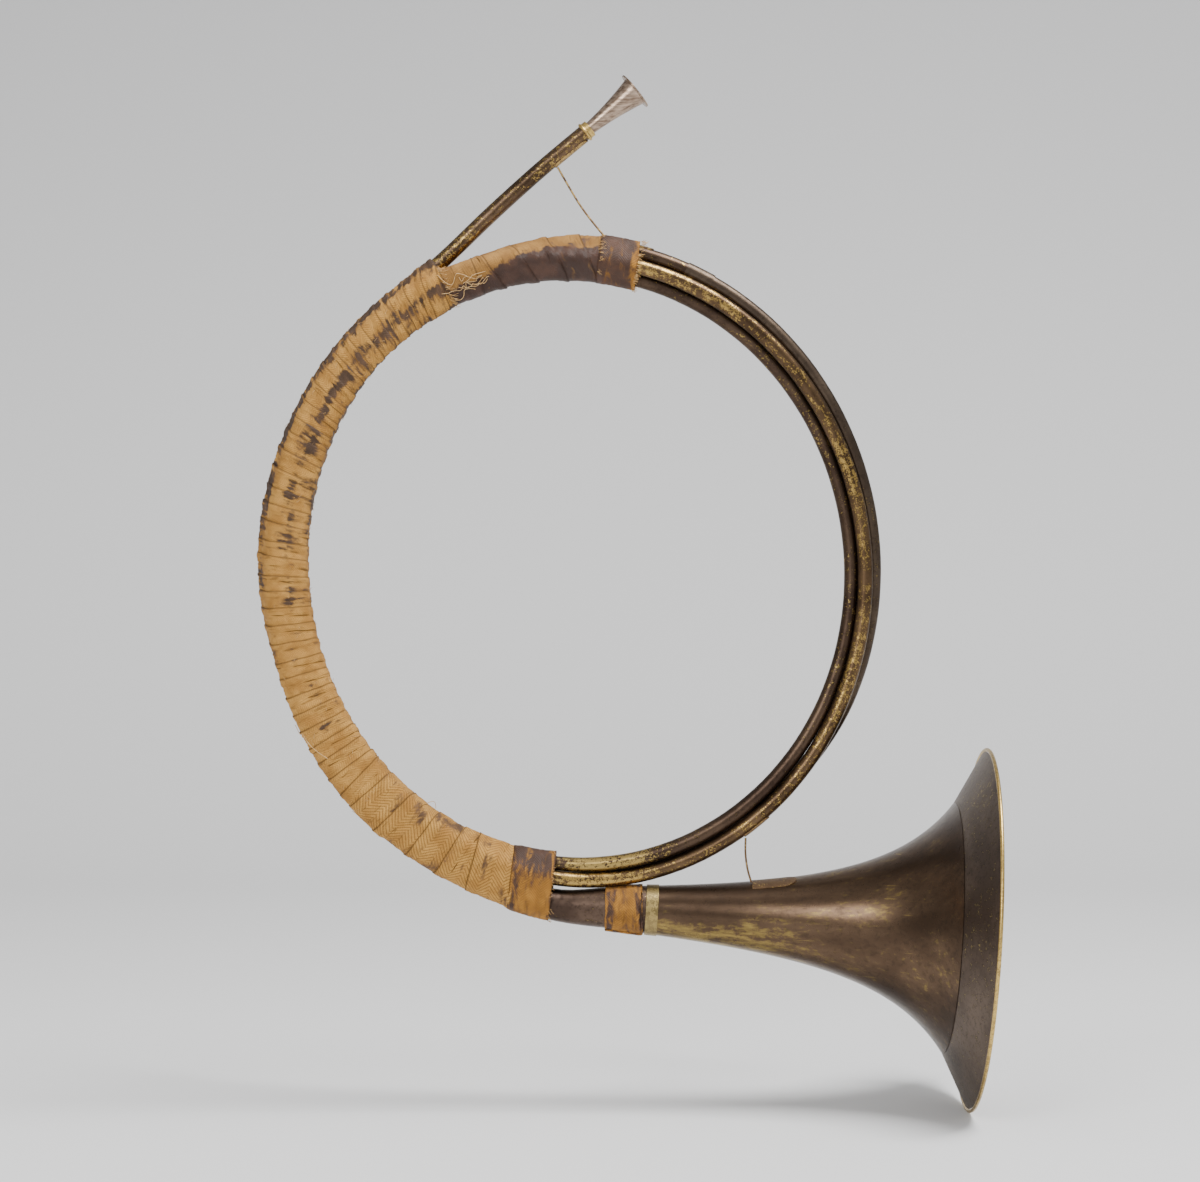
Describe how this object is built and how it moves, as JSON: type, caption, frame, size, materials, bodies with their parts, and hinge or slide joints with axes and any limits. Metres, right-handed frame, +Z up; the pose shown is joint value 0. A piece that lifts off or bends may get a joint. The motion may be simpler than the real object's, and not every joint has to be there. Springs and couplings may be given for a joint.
{
  "type": "coiled hunting horn",
  "caption": "Round coiled natural horn with a flared bell, cloth-wound grip, wire stays and a pull-off funnel mouthpiece; no valves or keys.",
  "frame": {"origin": "point inside the top of the coil, directly above the centre of mass, on which the horn hangs in balance", "axes": "+Z up, +X towards the mouth of the bell, +Y to the far side of the coil"},
  "size_m": [0.4887, 0.242, 0.6909],
  "materials": {
    "mouthpiece_silver": "warm nickel silver, polished and finely scratched",
    "bright_brass": "bright worn brass with brown in the hollows",
    "tube_brass": "dark brown patina, speckled and worn to bare brass on the front",
    "bell_brass": "dark brown patina, satin, rubbed to yellow in patches",
    "stay_wire": "dull brown wire",
    "grip_tape": "ochre twill tape, creased and stained",
    "grip_leather": "dark brown leather, worn to ochre on the outer edge"
  },
  "bodies": {
    "horn": {"receiver_bead": "bright_brass", "receiver_collar": "bright_brass", "receiver_socket": "bright_brass", "mouthpipe": "tube_brass", "coil_tube_1": "tube_brass", "coil_tube_2": "tube_brass", "coil_tube_3": "tube_brass", "joint_ferrule_1": "tube_brass", "joint_ferrule_2": "tube_brass", "joint_ferrule_3": "tube_brass", "joint_ferrule_4": "tube_brass", "bell_branch": "bell_brass", "bell_ferrule": "bright_brass", "bell_cone": "bell_brass", "bell_flange": "bell_brass", "bell_rim_wire": "bright_brass", "mouthpipe_stay": "stay_wire", "bell_stay": "stay_wire", "mouthpipe_stay_upper_foot": "tube_brass", "mouthpipe_stay_lower_foot": "tube_brass", "bell_stay_upper_foot": "tube_brass", "bell_stay_lower_foot": "bell_brass", "grip_wrap_top_band": "grip_leather", "grip_wrap_top": "grip_leather", "grip_wrap_left": "grip_tape", "grip_wrap_lower": "grip_tape", "grip_wrap_bottom_band": "grip_tape", "tail_wrap_band": "grip_tape"},
    "mouthpiece": {"mouthpiece_cone": "mouthpiece_silver", "mouthpiece_rim": "mouthpiece_silver", "mouthpiece_shank": "mouthpiece_silver"}
  },
  "joints": [
    {"name": "mouthpiece_pull", "type": "slide", "parent": "horn", "child": "mouthpiece", "axis": [0.7714, 0, 0.6364], "range_m": [0, 0.03]}
  ]
}
